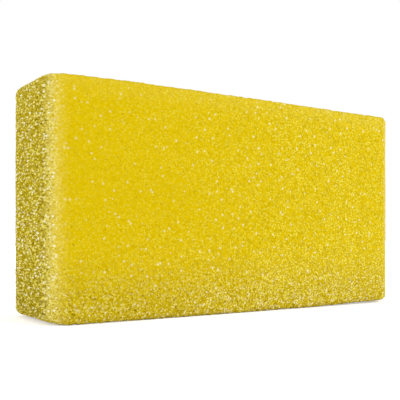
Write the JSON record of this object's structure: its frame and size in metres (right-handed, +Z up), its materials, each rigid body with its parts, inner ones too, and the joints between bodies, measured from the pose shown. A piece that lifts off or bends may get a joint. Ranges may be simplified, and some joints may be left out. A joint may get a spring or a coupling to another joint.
{
  "type": "cleaning sponge",
  "caption": "Rectangular cleaning sponge of bright yellow fine-celled foam, standing on a long narrow side, with soft rounded edges.",
  "frame": {"origin": "on the surface the sponge stands on, under the middle of the block", "axes": "+X along the length, +Y through the thickness, from one large face to the other, +Z up the width"},
  "size_m": [0.198, 0.051, 0.102],
  "materials": {
    "foam": "open-celled foam, bright yellow, with paler cream-yellow cell rims and small glints"
  },
  "bodies": {
    "root": {"foam_block": "foam"}
  },
  "joints": []
}
